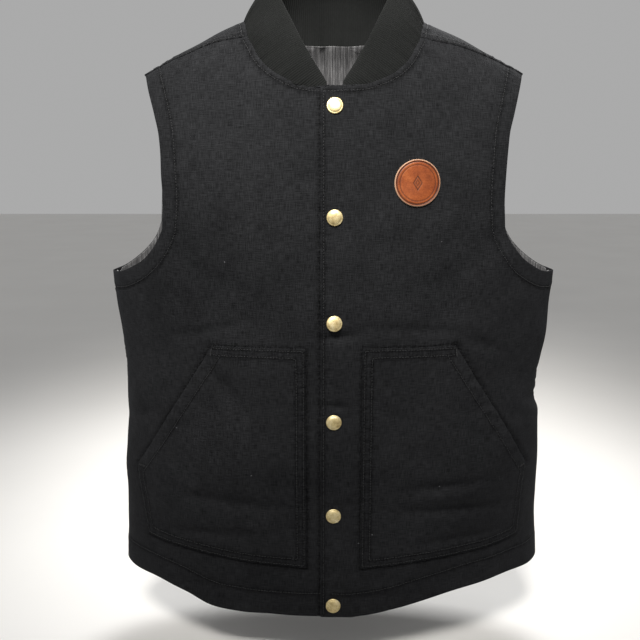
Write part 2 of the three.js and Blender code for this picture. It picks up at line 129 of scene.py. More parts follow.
ARM_BACK = np.array([
    (0, 0.982), (15, 0.97), (30, 0.967), (45, 0.969), (60, 0.976), (75, 0.989), (90, 1), (100, 0.988),
])
# Armhole edge below the chest line: along, front drop, back drop
ARM_FOOT = np.array([
    (0, 0, 0), (0.1, 0.29, 0.3), (0.28, 0.6, 0.55), (0.5, 0.8, 0.75), (0.74, 0.95, 0.91), (1, 1, 1),
])
# Large folds of the CAD part: around, down, long, wide, tilt, deep, as shares
FOLDS = [
    (0.97, 0.6, 0.1, 0.045, 12, -0.045), (-0.96, 0.56, 0.11, 0.05, -10, -0.03),
    (-0.97, 0.78, 0.12, 0.05, 8, 0.03), (0.5, 0.46, 0.16, 0.03, -14, -0.016),
    (-0.45, 0.47, 0.16, 0.03, 12, -0.014), (0.24, 0.565, 0.18, 0.06, 4, -0.012),
    (-0.3, 0.72, 0.2, 0.045, -6, 0.018), (0.45, 0.74, 0.2, 0.045, 8, 0.018),
    (0.62, 0.36, 0.1, 0.03, -38, -0.018), (-0.62, 0.37, 0.1, 0.03, 38, -0.016),
    (1.6, 0.5, 0.22, 0.05, 10, -0.02), (-1.5, 0.62, 0.22, 0.05, -8, 0.02),
]
# Small creases: around in mm (the back counts on past the side), z, length, width, tilt in degrees, depth in mm
CREASES = [
    (4, -353, 19, 5, 4, -3.8), (2, -341, 17, 5, 2, 1.4), (2, -436, 17, 4.5, -3, -3.2),
    (6, -560, 13, 4, 5, -1.2), (2, -668, 14, 4, 0, -1.2), (140, -540, 46, 7, 2, -3.8),
    (140, -552, 46, 7, 2, 1.6), (150, -573, 62, 7, -3, -4.4), (160, -612, 55, 7, 2, -3.6),
    (97, -347, 55, 6, -3, -2.2), (60, -440, 24, 8, -34, -1.6), (180, -368, 26, 7, -24, -3.2),
    (-150, -350, 40, 6, 14, -2.2), (276, -456, 28, 11, -10, -5.2), (272, -412, 26, 14, -10, 2.4),
    (270, -374, 30, 30, 0, 3.6), (250, -632, 16, 6, 24, -2.4), (246, -470, 26, 8, -30, -2.4),
    (-250, -468, 24, 8, 28, -2.2), (-120, -560, 70, 9, -4, -3.4), (-150, -604, 60, 8, 5, -3.2),
    (-128, -420, 52, 10, -52, -2.8), (43, -682, 45, 5, 2, -1.8), (-120, -676, 60, 6, -3, -1.6),
    (182, -176, 10, 4, 76, -1.4), (-118, -300, 60, 14, -22, -1.8), (112, -296, 60, 14, 24, -1.8),
    (-60, -540, 9, 70, 4, -1.4), (105, -480, 8, 60, -4, -1.4), (-104, -62, 16, 6, 20, -1.6),
    (118, -52, 16, 6, -24, -1.4), (430, -200, 60, 12, 30, -2.4), (-420, -230, 60, 12, -32, -2.4),
    (470, -420, 14, 90, 6, 2.4), (-400, -500, 12, 80, -8, -2.2), (500, -600, 80, 10, 6, -2.2),
    (-510, -150, 70, 14, 0, -1.8),
]


def mix(start, end, share):
    return start + (end - start) * share


def read(table, column, at):
    """A column of a table read at places of its first column, on a smooth curve through the rows."""
    keys, values = table[:, 0], table[:, column]
    last = len(keys) - 1
    row = np.clip(np.searchsorted(keys, at) - 1, 0, last - 1)
    before = np.maximum(np.arange(last + 1) - 1, 0)
    after = np.minimum(np.arange(last + 1) + 1, last)
    slope = (values[after] - values[before]) / (keys[after] - keys[before])
    step = keys[row + 1] - keys[row]
    t = np.clip((at - keys[row]) / step, 0, 1)
    square, cube = t * t, t * t * t
    return (
        (2 * cube - 3 * square + 1) * values[row]
        + (cube - 2 * square + t) * slope[row] * step
        + (3 * square - 2 * cube) * values[row + 1]
        + (cube - square) * slope[row + 1] * step
    )


def floats(*values):
    return np.broadcast_arrays(*(np.asarray(value, float) for value in values))


def cos_sin(degrees):
    return math.cos(math.radians(degrees)), math.sin(math.radians(degrees))


def hill(away, width):
    return np.exp(-((away / width) ** 2))


def unit(vectors):
    return vectors / np.maximum(np.linalg.norm(vectors, axis=-1, keepdims=True), 1e-12)


def ridge(x):
    reach = np.hypot(x, RIDGE_ROUND_HALF)
    near = math.hypot(NECK_HALF, RIDGE_ROUND_HALF)
    far = math.hypot(TIP_HALF, RIDGE_ROUND_HALF)
    run = (reach - near) / (far - near)
    return 4 * RIDGE_CROWN * np.maximum(0, run * (1 - run)) - TIP_DROP * run


def half_at(z):
    return HALF_WIDTH * read(SECTIONS, 1, -z / LENGTH)


def depth_at(x, z, side):
    down = -z / LENGTH
    front = FRONT_DEPTH * read(SECTIONS, 2, down)
    back = BACK_DEPTH * read(SECTIONS, 3, down)
    full = np.where(np.asarray(side) < 0, front, back)
    share = np.minimum(1, np.abs(x) / half_at(z))
    return full * (1 - share**FLATNESS) ** (1 / read(SECTIONS, 4, down))


def bump(across, up, long, wide, tilt):
    """A soft oblong hill of height 1, with its length along the tilt in degrees."""
    cos, sin = cos_sin(tilt)
    return np.exp(-(((across * cos + up * sin) / long) ** 2) - ((up * cos - across * sin) / wide) ** 2)


def large_folds(around, z):
    total = np.zeros(np.shape(around))
    for at, down, long, wide, tilt, deep in FOLDS:
        across = (around - at) * HALF_WIDTH / LENGTH
        total += deep * FRONT_DEPTH * bump(across, -z / LENGTH - down, long, wide, tilt)
    return total


def creases(around, z):
    total = np.zeros(np.shape(around))
    for at, high, long, wide, tilt, deep in CREASES:
        total += deep * bump(around * HALF_WIDTH - at, z - high, long, wide, tilt)
    return total


def ripple(points, seed, count, short, long, height):
    """Gentle unevenness from plane waves through space, so that neighbouring pieces share it."""
    draw = np.random.default_rng(seed)
    ways = unit(draw.normal(size=(count, 3)))
    lengths = np.exp(draw.uniform(math.log(short), math.log(long), count))
    phases = draw.uniform(0, 2 * math.pi, count)
    total = np.zeros(points.shape[:-1])
    for way, length, phase in zip(ways, lengths, phases):
        total += length * np.sin(2 * math.pi * (points @ way) / length + phase)
    return height * total / math.sqrt(0.5 * np.sum(lengths**2))


def put(x, y, z, normal, around):
    """Places on the folded body, with normals."""
    normal = unit(normal)
    points = np.stack(np.broadcast_arrays(x, y, z), -1)
    shift = large_folds(around, z) + creases(around, z) + ripple(points, 11, 40, 34, 150, 0.7)
    return points + normal * shift[..., None], normal


def around_at(share, side):
    return np.where(side < 0, share, np.sign(share) * (2 - np.abs(share)))


def torso_place(x, z, side):
    x, z = floats(x, z)
    half = half_at(z)
    corner = read(SECTIONS, 4, -z / LENGTH)
    full = depth_at(0 * x, z, side)
    depth = depth_at(x, z, side)
    share = np.minimum(1, np.abs(x) / half)
    normal = np.stack([
        np.sign(x) * FLATNESS * share ** (FLATNESS - 1) / half,
        side * corner * (depth / full) ** (corner - 1) / full,
        0 * x,
    ], -1)
    y = side * np.maximum(depth, SEAM_GAP / 2)
    return put(x, y, z, normal, around_at(np.sign(x) * share, side))


def chest_place(x, turn, side):
    x, turn = floats(x, turn)
    facing = np.where(turn > 90, -side, side)
    high = ridge(x) + CHEST_DROP
    line = np.full(x.shape, -CHEST_DROP)
    deep = depth_at(x, line, facing)
    ahead = depth_at(x + 0.5, line, facing) - depth_at(x - 0.5, line, facing)
    climb = ridge(x + 0.5) - ridge(x - 0.5)
    flat, up = np.cos(np.radians(turn)), np.sin(np.radians(turn))
    sideways = -flat * flat * ahead / deep - up * up * climb / high
    normal = np.stack([sideways, side * flat / deep, up / high], -1)
    return put(x, side * flat * deep, high * up - CHEST_DROP, normal, around_at(x / HALF_WIDTH, facing))


def front_place(x, z):
    x, z = floats(x, z)
    low, low_normal = torso_place(x, np.minimum(z, -CHEST_DROP), -1)
    up = np.clip((z + CHEST_DROP) / (ridge(x) + CHEST_DROP), 0, 1)
    high, high_normal = chest_place(x, np.degrees(np.arcsin(up)), -1)
    above = (z > -CHEST_DROP)[..., None]
    return np.where(above, high, low), np.where(above, high_normal, low_normal)


# Lengths along the cloth, for the direction and scale of the weave
SECTION_X = np.linspace(0, 1, 400)
section_y = (1 - SECTION_X**FLATNESS) ** (1 / 1.45)
section_steps = np.hypot(np.diff(SECTION_X) * HALF_WIDTH, np.diff(section_y) * 97)
SECTION_RUN = np.concatenate([[0], np.cumsum(section_steps)])


def cloth_across(x, z):
    share = np.clip(np.abs(x) / half_at(z), 0, 1)
    return np.sign(x) * np.interp(share, SECTION_X, SECTION_RUN)


def torso_uv(x, z):
    return np.stack([cloth_across(x, z), z + CHEST_DROP], -1)


def cloth_up(x, turn, side):
    """Length of the arc over the shoulder from the chest line to a turn."""
    steps = 16
    high = ridge(x) + CHEST_DROP
    line = np.full(x.shape, -CHEST_DROP)
    total = np.zeros(x.shape)
    for i in range(steps):
        angle = turn * (i + 0.5) / steps
        deep = depth_at(x, line, np.where(angle > 90, -side, side))
        swing = np.radians(angle)
        total += np.hypot(high * np.cos(swing), deep * np.sin(swing)) * np.radians(turn) / steps
    return total


class Sheet:
    """Points with cloth coordinates, joined by quads that face outwards."""

    def __init__(self):
        self.points = np.zeros((0, 3))
        self.uv = np.zeros((0, 2))
        # Seam values mark bands beside stitch rows and pocket edges where the canvas colour gets painted shade
        self.seam = np.zeros(0)
        self.quads = np.zeros((0, 4), int)

    def grid(self, points, uv, flip, known=None):
        index = np.full(points.shape[:2], -1) if known is None else known.copy()
        fresh = index < 0
        index[fresh] = np.arange(fresh.sum()) + len(self.points)
        self.points = np.vstack([self.points, points[fresh]])
        self.uv = np.vstack([self.uv, uv[fresh]])
        self.seam = np.zeros(len(self.points))
        corners = [index[:-1, :-1], index[:-1, 1:], index[1:, 1:], index[1:, :-1]]
        if flip:
            corners.reverse()
        self.quads = np.vstack([self.quads, np.stack([c.ravel() for c in corners], 1)])
        return index

    def frames(self):
        """Vertex normals, and on the free edges the way that leads off the cloth."""
        p, q = self.points, self.quads
        face = np.cross(p[q[:, 2]] - p[q[:, 0]], p[q[:, 3]] - p[q[:, 1]])
        normal = np.zeros_like(p)
        for k in range(4):
            np.add.at(normal, q[:, k], face)
        normal = unit(normal)
        start = q.ravel()
        end = np.roll(q, -1, 1).ravel()
        free = ~np.isin(end * len(p) + start, start * len(p) + end)
        start, end = start[free], end[free]
        along = unit(p[end] - p[start])
        off = np.zeros_like(p)
        for tip in (start, end):
            np.add.at(off, tip, np.cross(along, normal[tip]))
        return normal, unit(off), start, end

    def each(self, value):
        return np.broadcast_to(value, (len(self.points),))[:, None]

    def move(self, shift):
        """Moves the points along their normals."""
        self.points = self.points + self.frames()[0] * shift[:, None]

    def tree(self, lift=0.0):
        moved = self.points + self.frames()[0] * self.each(lift)
        return BVHTree.FromPolygons(moved.tolist(), self.quads.tolist())

    def solid(self, outer, inner):
        """The sheet as a closed wall between two heights, with rounded edges: points, quads, uv and seam values,
        which mark the painted shade.
        """
        normal, off, start, end = self.frames()
        outer, inner = self.each(outer), self.each(inner)
        middle, half = (outer + inner) / 2, (outer - inner) / 2
        rim = np.unique(start)
        slot_of = np.zeros(len(self.points), int)
        slot_of[rim] = np.arange(len(rim))
        count = len(self.points)
        layers = [self.points + normal * outer, self.points + normal * inner]
        rings = [np.arange(count)]
        for k, angle in enumerate((45, 90, 135)):
            cos, sin = cos_sin(angle)
            ring = self.points + normal * (middle + half * cos) + off * half * sin
            layers.append(ring[rim])
            rings.append(2 * count + k * len(rim) + slot_of)
        rings.append(np.arange(count) + count)
        quads = [self.quads, self.quads[:, ::-1] + count]
        for upper, lower in zip(rings[:-1], rings[1:]):
            quads.append(np.stack([upper[start], lower[start], lower[end], upper[end]], 1))
        source = np.concatenate([np.arange(count), np.arange(count), rim, rim, rim])
        return np.vstack(layers), np.vstack(quads), self.uv[source], self.seam[source]


def lengths_along(path):
    return np.concatenate([[0], np.cumsum(np.linalg.norm(np.diff(path, axis=0), axis=1))])


def resample(path, step):
    """Points evenly along a polyline, and the lengths at which they lie."""
    run = lengths_along(path)
    count = max(2, int(round(run[-1] / step)) + 1)
    at = np.linspace(0, run[-1], count)
    return np.stack([np.interp(at, run, path[:, k]) for k in range(3)], 1), at


def nearest(path, points):
    """For each point, the distance to the closest of a path's points, and that one's index."""
    tree = KDTree(len(path))
    for i, place in enumerate(path):
        tree.insert(place, i)
    tree.balance()
    found = [tree.find(p) for p in points]
    return np.array([f[2] for f in found]), np.array([f[1] for f in found])


def inset(sheet, edge, distance):
    """A line on the sheet at a distance inside one of its edges."""
    tree = sheet.tree()
    moved = sheet.points[edge] - sheet.frames()[1][edge] * distance
    snapped = np.array([tree.find_nearest(p)[0][:] for p in moved])
    away = nearest(resample(sheet.points[edge], 1.0)[0], snapped)[0]
    kept = snapped[away > 0.9 * distance]
    for _ in range(3):
        kept[1:-1] = (kept[:-2] + kept[1:-1] + kept[2:]) / 3
    return kept


def sew(sheet, rows, depth=0.5, pucker=0.42, reach=6.0, seed=5, shade_band=2.7, width=1.9):
    """Sinks the cloth a little along stitch rows, puckers it beside them, and marks a band beside them for painted
    shade in the colour.
    """
    draw = np.random.default_rng(seed)
    shift = np.zeros(len(sheet.points))
    for row in rows:
        path, run = resample(row, 1.0)
        away, index = nearest(path, sheet.points)
        turns = 2 * math.pi * run[index]
        waves = sum(np.sin(turns / length + draw.uniform(0, 6.28)) for length in (5.7, 8.3, 12.9))
        shift -= depth * hill(away, width)
        shift += pucker * waves / 1.7 * hill(away, reach)
        # The seam values mark a band of painted shade beside the row
        sheet.seam = np.maximum(sheet.seam, hill(away, shade_band))
    sheet.move(shift)


def swell(sheet, edge, width, height):
    """Raises the turned margin along an edge."""
    away, _ = nearest(resample(sheet.points[edge], 1.5)[0], sheet.points)
    sheet.move(height * (0.5 - 0.5 * np.tanh((away - width) / 1.3)))


def add_to_scene(name, data):
    thing = bpy.data.objects.new(name, data)
    bpy.context.scene.collection.objects.link(thing)
    return thing


def make_object(name, points, faces, uv, material, replaced, values=()):
    """A mesh piece from points in mm and one or more arrays of faces, riding on the part."""
    mesh = bpy.data.meshes.new(name)
    blocks = [np.asarray(block) for block in faces if len(block)]
    loops = np.concatenate([block.ravel() for block in blocks])
    totals = np.concatenate([np.full(len(block), block.shape[1]) for block in blocks])
    mesh.vertices.add(len(points))
    mesh.vertices.foreach_set("co", (np.asarray(points) * MM).ravel())
    mesh.loops.add(len(loops))
    mesh.loops.foreach_set("vertex_index", loops.astype(np.int32))
    mesh.polygons.add(len(totals))
    mesh.polygons.foreach_set("loop_start", np.concatenate([[0], np.cumsum(totals)[:-1]]).astype(np.int32))
    mesh.update(calc_edges=True)
    mesh.polygons.foreach_set("use_smooth", np.ones(len(totals), bool))
    layer = mesh.uv_layers.new(name="cloth")
    layer.data.foreach_set("uv", (np.asarray(uv)[loops] * MM).ravel())
    for title, value in values:
        field = mesh.attributes.new(title, "FLOAT", "POINT")
        field.data.foreach_set("value", np.clip(value, 0, 1).astype(np.float32))
    mesh.materials.append(material)
    piece = add_to_scene(name, mesh)
    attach(piece, "root")
    if replaced:
        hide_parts(*replaced)


def wall(name, sheet, outer, inner, material):
    """A sheet as one closed piece between two heights, in place of the CAD node of its name."""
    points, quads, uv, seam = sheet.solid(outer, inner)
    make_object(name, points, [quads], uv, material, [name], [("seam", seam)] if seam.any() else ())


def between(upper, lower):
    """Quads between two closed rings of point numbers."""
    return np.stack([upper, lower, np.roll(lower, -1), np.roll(upper, -1)], 1)


def fan(centre, ring):
    """Triangles from one point to a closed ring."""
    return np.stack([np.full(len(ring), centre), ring, np.roll(ring, -1)], 1)


# Materials
class Nodes:
    """Short ways to add and link the nodes of one material."""

    def __init__(self, name):
        self.material = bpy.data.materials.new(name)
        self.material.use_nodes = True
        self.tree = self.material.node_tree
        self.shader = self.tree.nodes["Principled BSDF"]

    def add(self, kind, sockets=(), **settings):
        node = self.tree.nodes.new(kind)
        for key, value in settings.items():
            setattr(node, key, value)
        for key, value in dict(sockets).items():
            self.plug(node.inputs[key], value)
        return node

    def plug(self, socket, value):
        """Sets a socket to a number or numbers, or links another one to it."""
        if isinstance(value, (int, float, tuple)):
            socket.default_value = value
        else:
            self.tree.links.new(value, socket)

    def set(self, **values):
        for key, value in values.items():
            self.plug(self.shader.inputs[key.replace("_", " ")], value)

    def math(self, operation, *values):
        node = self.add("ShaderNodeMath", operation=operation)
        for socket, value in zip(node.inputs, values):
            self.plug(socket, value)
        return node.outputs[0]

    def times(self, first, second):
        return self.math("MULTIPLY", first, second)

    def mapped(self, source, scale, turn=0.0):
        sockets = {"Vector": source, "Scale": scale, "Rotation": (0, 0, math.radians(turn))}
        return self.add("ShaderNodeMapping", sockets).outputs[0]

    def noise(self, source, scale, detail=2.0, rough=0.5):
        sockets = {"Vector": source, "Scale": scale, "Detail": detail, "Roughness": rough}
        return self.add("ShaderNodeTexNoise", sockets).outputs["Fac"]

    def cells(self, source, scale, feature):
        sockets = {"Vector": source, "Scale": scale}
        return self.add("ShaderNodeTexVoronoi", sockets, feature=feature).outputs["Distance"]

    def ramp(self, source, *stops):
        node = self.add("ShaderNodeValToRGB", {"Fac": source})
        while len(node.color_ramp.elements) < len(stops):
            node.color_ramp.elements.new(0.5)
        for element, (at, color) in zip(node.color_ramp.elements, stops):
            element.position = at
            element.color = (*color, 1)
        return node.outputs["Color"]

    def greys(self, source, *stops):
        return self.ramp(source, *((at, (grey,) * 3) for at, grey in stops))

    def shade(self, color, factor, source, *stops):
        """Multiplies a colour by a ramp of greys."""
        return self.blend("MULTIPLY", factor, color, self.greys(source, *stops))

    def blend(self, way, factor, first, second):
        sockets = {"Factor": factor, "A": first, "B": second}
        return self.add("ShaderNodeMix", sockets, data_type="RGBA", blend_type=way).outputs["Result"]

    def bumps(self, *heights):
        """Bump nodes in a chain: (height, distance in metres, strength)."""
        chain = {}
        for height, distance, strength in heights:
            chain |= {"Height": height, "Distance": distance, "Strength": strength}
            chain = {"Normal": self.add("ShaderNodeBump", chain).outputs["Normal"]}
        self.set(**chain)

    def field(self, name):
        return self.add("ShaderNodeAttribute", attribute_name=name).outputs["Fac"]

    def uv(self):
        return self.add("ShaderNodeUVMap", uv_map="cloth").outputs["UV"]

    def place(self):
        return self.add("ShaderNodeTexCoord").outputs["Object"]


def sines(nodes, uv, *turns):
    """A wave along each of the cloth's two directions, from angles per metre."""
    parts = nodes.add("ShaderNodeSeparateXYZ", {"Vector": uv})
    return [nodes.math("SINE", nodes.times(parts.outputs[axis], turn)) for axis, turn in zip("XY", turns)]


def weave_height(nodes, uv, pitch):
    """Over and under threads of a plain weave with that thread pitch in metres."""
    return nodes.math("ABSOLUTE", nodes.times(*sines(nodes, uv, math.pi / pitch, math.pi / pitch)))


def canvas_material():
    nodes = Nodes("black_canvas")
    uv = nodes.uv()
    weave = weave_height(nodes, uv, 0.0009)
    slub_across = nodes.noise(nodes.mapped(uv, (90, 1250, 1)), 1.0)
    slub_up = nodes.noise(nodes.mapped(uv, (1250, 90, 1)), 1.0)
    slubs = nodes.times(nodes.math("ADD", slub_across, slub_up), 0.5)
    cloudy = nodes.noise(nodes.place(), 7.0, 4.0, 0.6)
    worn = nodes.noise(nodes.place(), 34.0, 5.0, 0.65)
    base = nodes.ramp(cloudy, (0.3, (0.0095, 0.0099, 0.0106)), (0.7, (0.0132, 0.0136, 0.0145)))
    threads = nodes.ramp(slubs, (0.37, (0.45, 0.45, 0.46)), (0.63, (1.6, 1.6, 1.62)))
    color = nodes.blend("MULTIPLY", 1.0, base, threads)
    color = nodes.shade(color, 0.4, worn, (0.35, 0.75), (0.7, 1.35))
    color = nodes.shade(color, 0.55, weave, (0.0, 0.45), (0.7, 1.25))
    lint = nodes.cells(nodes.place(), 55.0, "F1")
    chosen = nodes.math("GREATER_THAN", nodes.noise(nodes.place(), 23.0, 0.0), 0.66)
    speck = nodes.times(nodes.math("LESS_THAN", lint, 0.05), chosen)
    color = nodes.blend("MIX", nodes.times(speck, 0.5), color, (0.16, 0.16, 0.17, 1))
    # Painted shade: beside stitch rows and pocket edges the colour is darkened by the seam values, mottled by the
    # pucker noise
    seam = nodes.field("seam")
    pucker = nodes.noise(uv, 330.0, 2.0, 0.6)
    nodes.set(Base_Color=nodes.shade(color, seam, pucker, (0.35, 0.2), (0.7, 0.95)))
    nodes.set(Roughness=nodes.greys(slubs, (0.3, 0.82), (0.7, 0.95)))
    nodes.set(Specular_IOR_Level=0.05, Sheen_Weight=0.01, Sheen_Roughness=0.45, Sheen_Tint=(0.8, 0.86, 1.0, 1))
    nodes.bumps((nodes.times(seam, pucker), 0.0022, 0.8), (slubs, 0.00035, 0.55), (weave, 0.00022, 0.6))
    return nodes.material


def thread_material():
    nodes = Nodes("grey_thread")
    fibre = nodes.noise(nodes.place(), 900.0)
    nodes.set(Base_Color=nodes.ramp(fibre, (0.3, (0.016, 0.0164, 0.0172)), (0.7, (0.03, 0.0305, 0.032))))
    nodes.set(Roughness=0.6, Specular_IOR_Level=0.12, Sheen_Weight=0.02)
    nodes.bumps((fibre, 0.0001, 0.5))
    return nodes.material


def knit_material():
    nodes = Nodes("black_rib_knit")
    stitch_waves = sines(nodes, nodes.uv(), 2 * math.pi / 0.00115, 2 * math.pi / 0.0013)
    loops = nodes.times(nodes.math("ADD", *stitch_waves), 0.5)
    fuzz = nodes.noise(nodes.place(), 420.0, 4.0, 0.7)
    cloudy = nodes.noise(nodes.place(), 18.0, 3.0)
    color = nodes.ramp(cloudy, (0.3, (0.0072, 0.0077, 0.0075)), (0.7, (0.0098, 0.0104, 0.0102)))
    nodes.set(Base_Color=nodes.shade(color, 0.4, fuzz, (0.3, 0.7), (0.75, 1.4)))
    nodes.set(Roughness=0.93, Specular_IOR_Level=0.06, Sheen_Weight=0.02, Sheen_Roughness=0.4)
    nodes.bumps((fuzz, 0.0003, 0.35), (loops, 0.0002, 0.4))
    return nodes.material


def lining_material():
    nodes = Nodes("grey_lining")
    uv = nodes.uv()
    streak = nodes.noise(nodes.mapped(uv, (420, 14, 1), 38), 1.0, 3.0, 0.6)
    fine = nodes.noise(nodes.mapped(uv, (2400, 90, 1), 38), 1.0, 2.0, 0.6)
    both = nodes.math("ADD", nodes.times(streak, 0.65), nodes.times(fine, 0.35))
    tones = (0.36, (0.008, 0.008, 0.009)), (0.48, (0.04, 0.04, 0.042)), (0.62, (0.13, 0.13, 0.133))
    nodes.set(Base_Color=nodes.ramp(both, *tones))
    weave = weave_height(nodes, uv, 0.0006)
    nodes.set(Roughness=0.62, Specular_IOR_Level=0.4, Sheen_Weight=0.15)
    nodes.bumps((both, 0.0003, 0.4), (weave, 0.00015, 0.5))
    return nodes.material


def leather_material():
    nodes = Nodes("tan_leather")
    where = nodes.place()
    grain = nodes.cells(where, 1100.0, "DISTANCE_TO_EDGE")
    pores = nodes.noise(where, 700.0, 4.0, 0.65)
    mottle = nodes.noise(where, 60.0, 5.0, 0.6)
    patches = nodes.noise(where, 25.0, 3.0, 0.5)
    tones = (0.3, (0.14, 0.03, 0.0065)), (0.5, (0.205, 0.048, 0.01)), (0.72, (0.28, 0.078, 0.019))
    color = nodes.shade(nodes.ramp(mottle, *tones), 0.5, patches, (0.35, 0.8), (0.65, 1.15))
    color = nodes.shade(color, 0.5, pores, (0.35, 0.6), (0.6, 1.1))
    # The colour is made much darker in the patch's grooves and lozenge lines
    color = nodes.blend("MIX", nodes.times(nodes.field("groove_darkening"), 0.9), color, (0.016, 0.006, 0.004, 1))
    nodes.set(Base_Color=nodes.blend("MIX", nodes.field("cut_edge"), color, (0.3, 0.19, 0.125, 1)))
    nodes.set(Roughness=nodes.greys(pores, (0.3, 0.42), (0.7, 0.62)))
    nodes.set(Specular_IOR_Level=0.22)
    nodes.bumps((grain, 0.00025, 0.35), (pores, 0.0002, 0.4))
    return nodes.material


def brass_material():
    nodes = Nodes("antique_brass")
    where = nodes.place()
    tarnish = nodes.noise(where, 140.0, 6.0, 0.65)
    spots = nodes.noise(where, 900.0, 4.0, 0.7)
    brushed = nodes.noise(nodes.mapped(where, (400, 400, 2600)), 1.0, 3.0, 0.6)
    tones = (0.3, (0.4, 0.3, 0.135)), (0.5, (0.67, 0.55, 0.29)), (0.7, (0.83, 0.73, 0.47))
    nodes.set(Base_Color=nodes.shade(nodes.ramp(tarnish, *tones), 0.5, spots, (0.36, 0.62), (0.55, 1.08)))
    nodes.set(Roughness=nodes.greys(brushed, (0.3, 0.46), (0.7, 0.62)))
    nodes.set(Metallic=1.0)
    nodes.bumps((spots, 0.00012, 0.35), (brushed, 0.00008, 0.3))
    return nodes.material


CANVAS = canvas_material()
THREAD = thread_material()
RIB = knit_material()
GREY = lining_material()
LEATHER = leather_material()
BRASS = brass_material()

# Panels
CHEST_ROWS = {-1: 5, 1: 6}
ROW_SPLIT = 8
TORSO_ROWS = 150
BODY_COLUMNS = 68
FOOT_COLUMNS = 26
STITCH_PITCH = 3.4


def neck_at(index):
    """The neck seam at a row index of the NECK table: across, sweep, inward, aft, rise."""
    table = np.column_stack([np.arange(len(NECK)), NECK])
    return [read(table, column, index) for column in range(1, 6)]


def inner_edge(side, edge, at):
    """x and turn along a panel's inner edge; at counts chest rows up to the neck, then the rows of the neck."""
    lower = CHEST_ROWS[side]
    if side < 0:
        index = np.clip(at - lower - 1, 0, NECK_FRONT_LAST)
    else:
        index = np.clip(NECK_BACK_LAST + lower - at, 0, NECK_BACK_LAST)
    across, sweep = neck_at(index)[:2]
    x = NECK_HALF * across
    turn = sweep if side < 0 else 180 - sweep
    low_turn = turn[np.argmin(np.abs(at - lower))]
    if side < 0:
        x = np.where(at <= lower + 1, mix(edge, NECK_HALF * NECK[0, 0], np.clip(at - lower, 0, 1)), x)
    else:
        x = np.where(at <= lower, 0, x)
    return x, np.where(at <= lower, low_turn * at / lower, turn)


def half_panel(sheet, side, hand, edge, known=None):
    """Adds one half of a front or back; gives its index grids and its named edges."""
    arm_table = ARM_FRONT if side < 0 else ARM_BACK
    arm_x = TIP_HALF * arm_table[0, 1]
    chest_half = half_at(np.array(-CHEST_DROP))
    arm_share = (arm_x - edge) / (chest_half - edge)
    body = np.linspace(0, 1, BODY_COLUMNS + 1)
    foot = np.sin(np.pi / 2 * np.arange(1, FOOT_COLUMNS + 1) / FOOT_COLUMNS)
    across = np.concatenate([body * arm_share, mix(arm_share, 1, foot)])
    along = np.maximum(0, (across - arm_share) / (1 - arm_share))
    top = -mix(CHEST_DROP, UNDERARM_DROP, read(ARM_FOOT, 1 if side < 0 else 2, along))
    at = (edge + across * (HALF_WIDTH - edge)) / HALF_WIDTH
    handed = 1 if hand < 0 else 2
    if side < 0:
        hem = -LENGTH * read(HEM, handed, np.maximum(0, at))
    else:
        hem = -mix(BACK_HEM_DROP, LENGTH * HEM[-1, handed], at * at)
    rise = np.linspace(0, 1, TORSO_ROWS + 1)[:, None]
    z = mix(hem, top, rise)
    x = hand * mix(edge, half_at(z), across)
    points, _ = torso_place(x, z, side)
    known_torso = np.full(x.shape, -1)
    if known is not None:
        known_torso[:, 0] = known["torso"][:, 0]
    flip = side * hand > 0
    torso = sheet.grid(points, torso_uv(x, z), flip, known_torso)

    lower = CHEST_ROWS[side]
    neck_row = lower * ROW_SPLIT
    count = lower + (NECK_FRONT_LAST + 1 if side < 0 else NECK_BACK_LAST - NECK_FRONT_LAST)
    rows = np.linspace(0, count, count * ROW_SPLIT + 1)
    start_x, start_turn = inner_edge(side, edge, rows)
    away = np.degrees(SEAM_GAP / 2 / FRONT_DEPTH)
    start_turn = start_turn - away * np.clip(rows - count + 1, 0, 1)
    turn = (arm_table[-1, 0] - away) * rows / count
    arm = TIP_HALF * read(arm_table, 1, turn)
    x = hand * mix(start_x[:, None], arm[:, None], body)
    turns = mix(start_turn[:, None], turn[:, None], body)
    points, _ = chest_place(x, turns, side)
    line = np.full(x.shape, -CHEST_DROP)
    uv = np.stack([cloth_across(x, line), cloth_up(x, turns, side)], -1)
    known_chest = np.full(x.shape, -1)
    known_chest[0] = torso[-1, : BODY_COLUMNS + 1]
    if known is not None:
        known_chest[: neck_row + 1, 0] = known["chest"][: neck_row + 1, 0]
    chest = sheet.grid(points, uv, flip, known_chest)
    return {
        "torso": torso,
        "chest": chest,
        "front_edge": np.concatenate([torso[:, 0], chest[1 : neck_row + 1, 0]]),
        "neck": chest[neck_row:, 0],
        "shoulder": chest[-1],
        "armhole": np.concatenate([chest[::-1, -1], torso[-1, BODY_COLUMNS + 1 :]]),
        "side": torso[:, -1],
        "hem": torso[0],
        "flip": flip,
    }


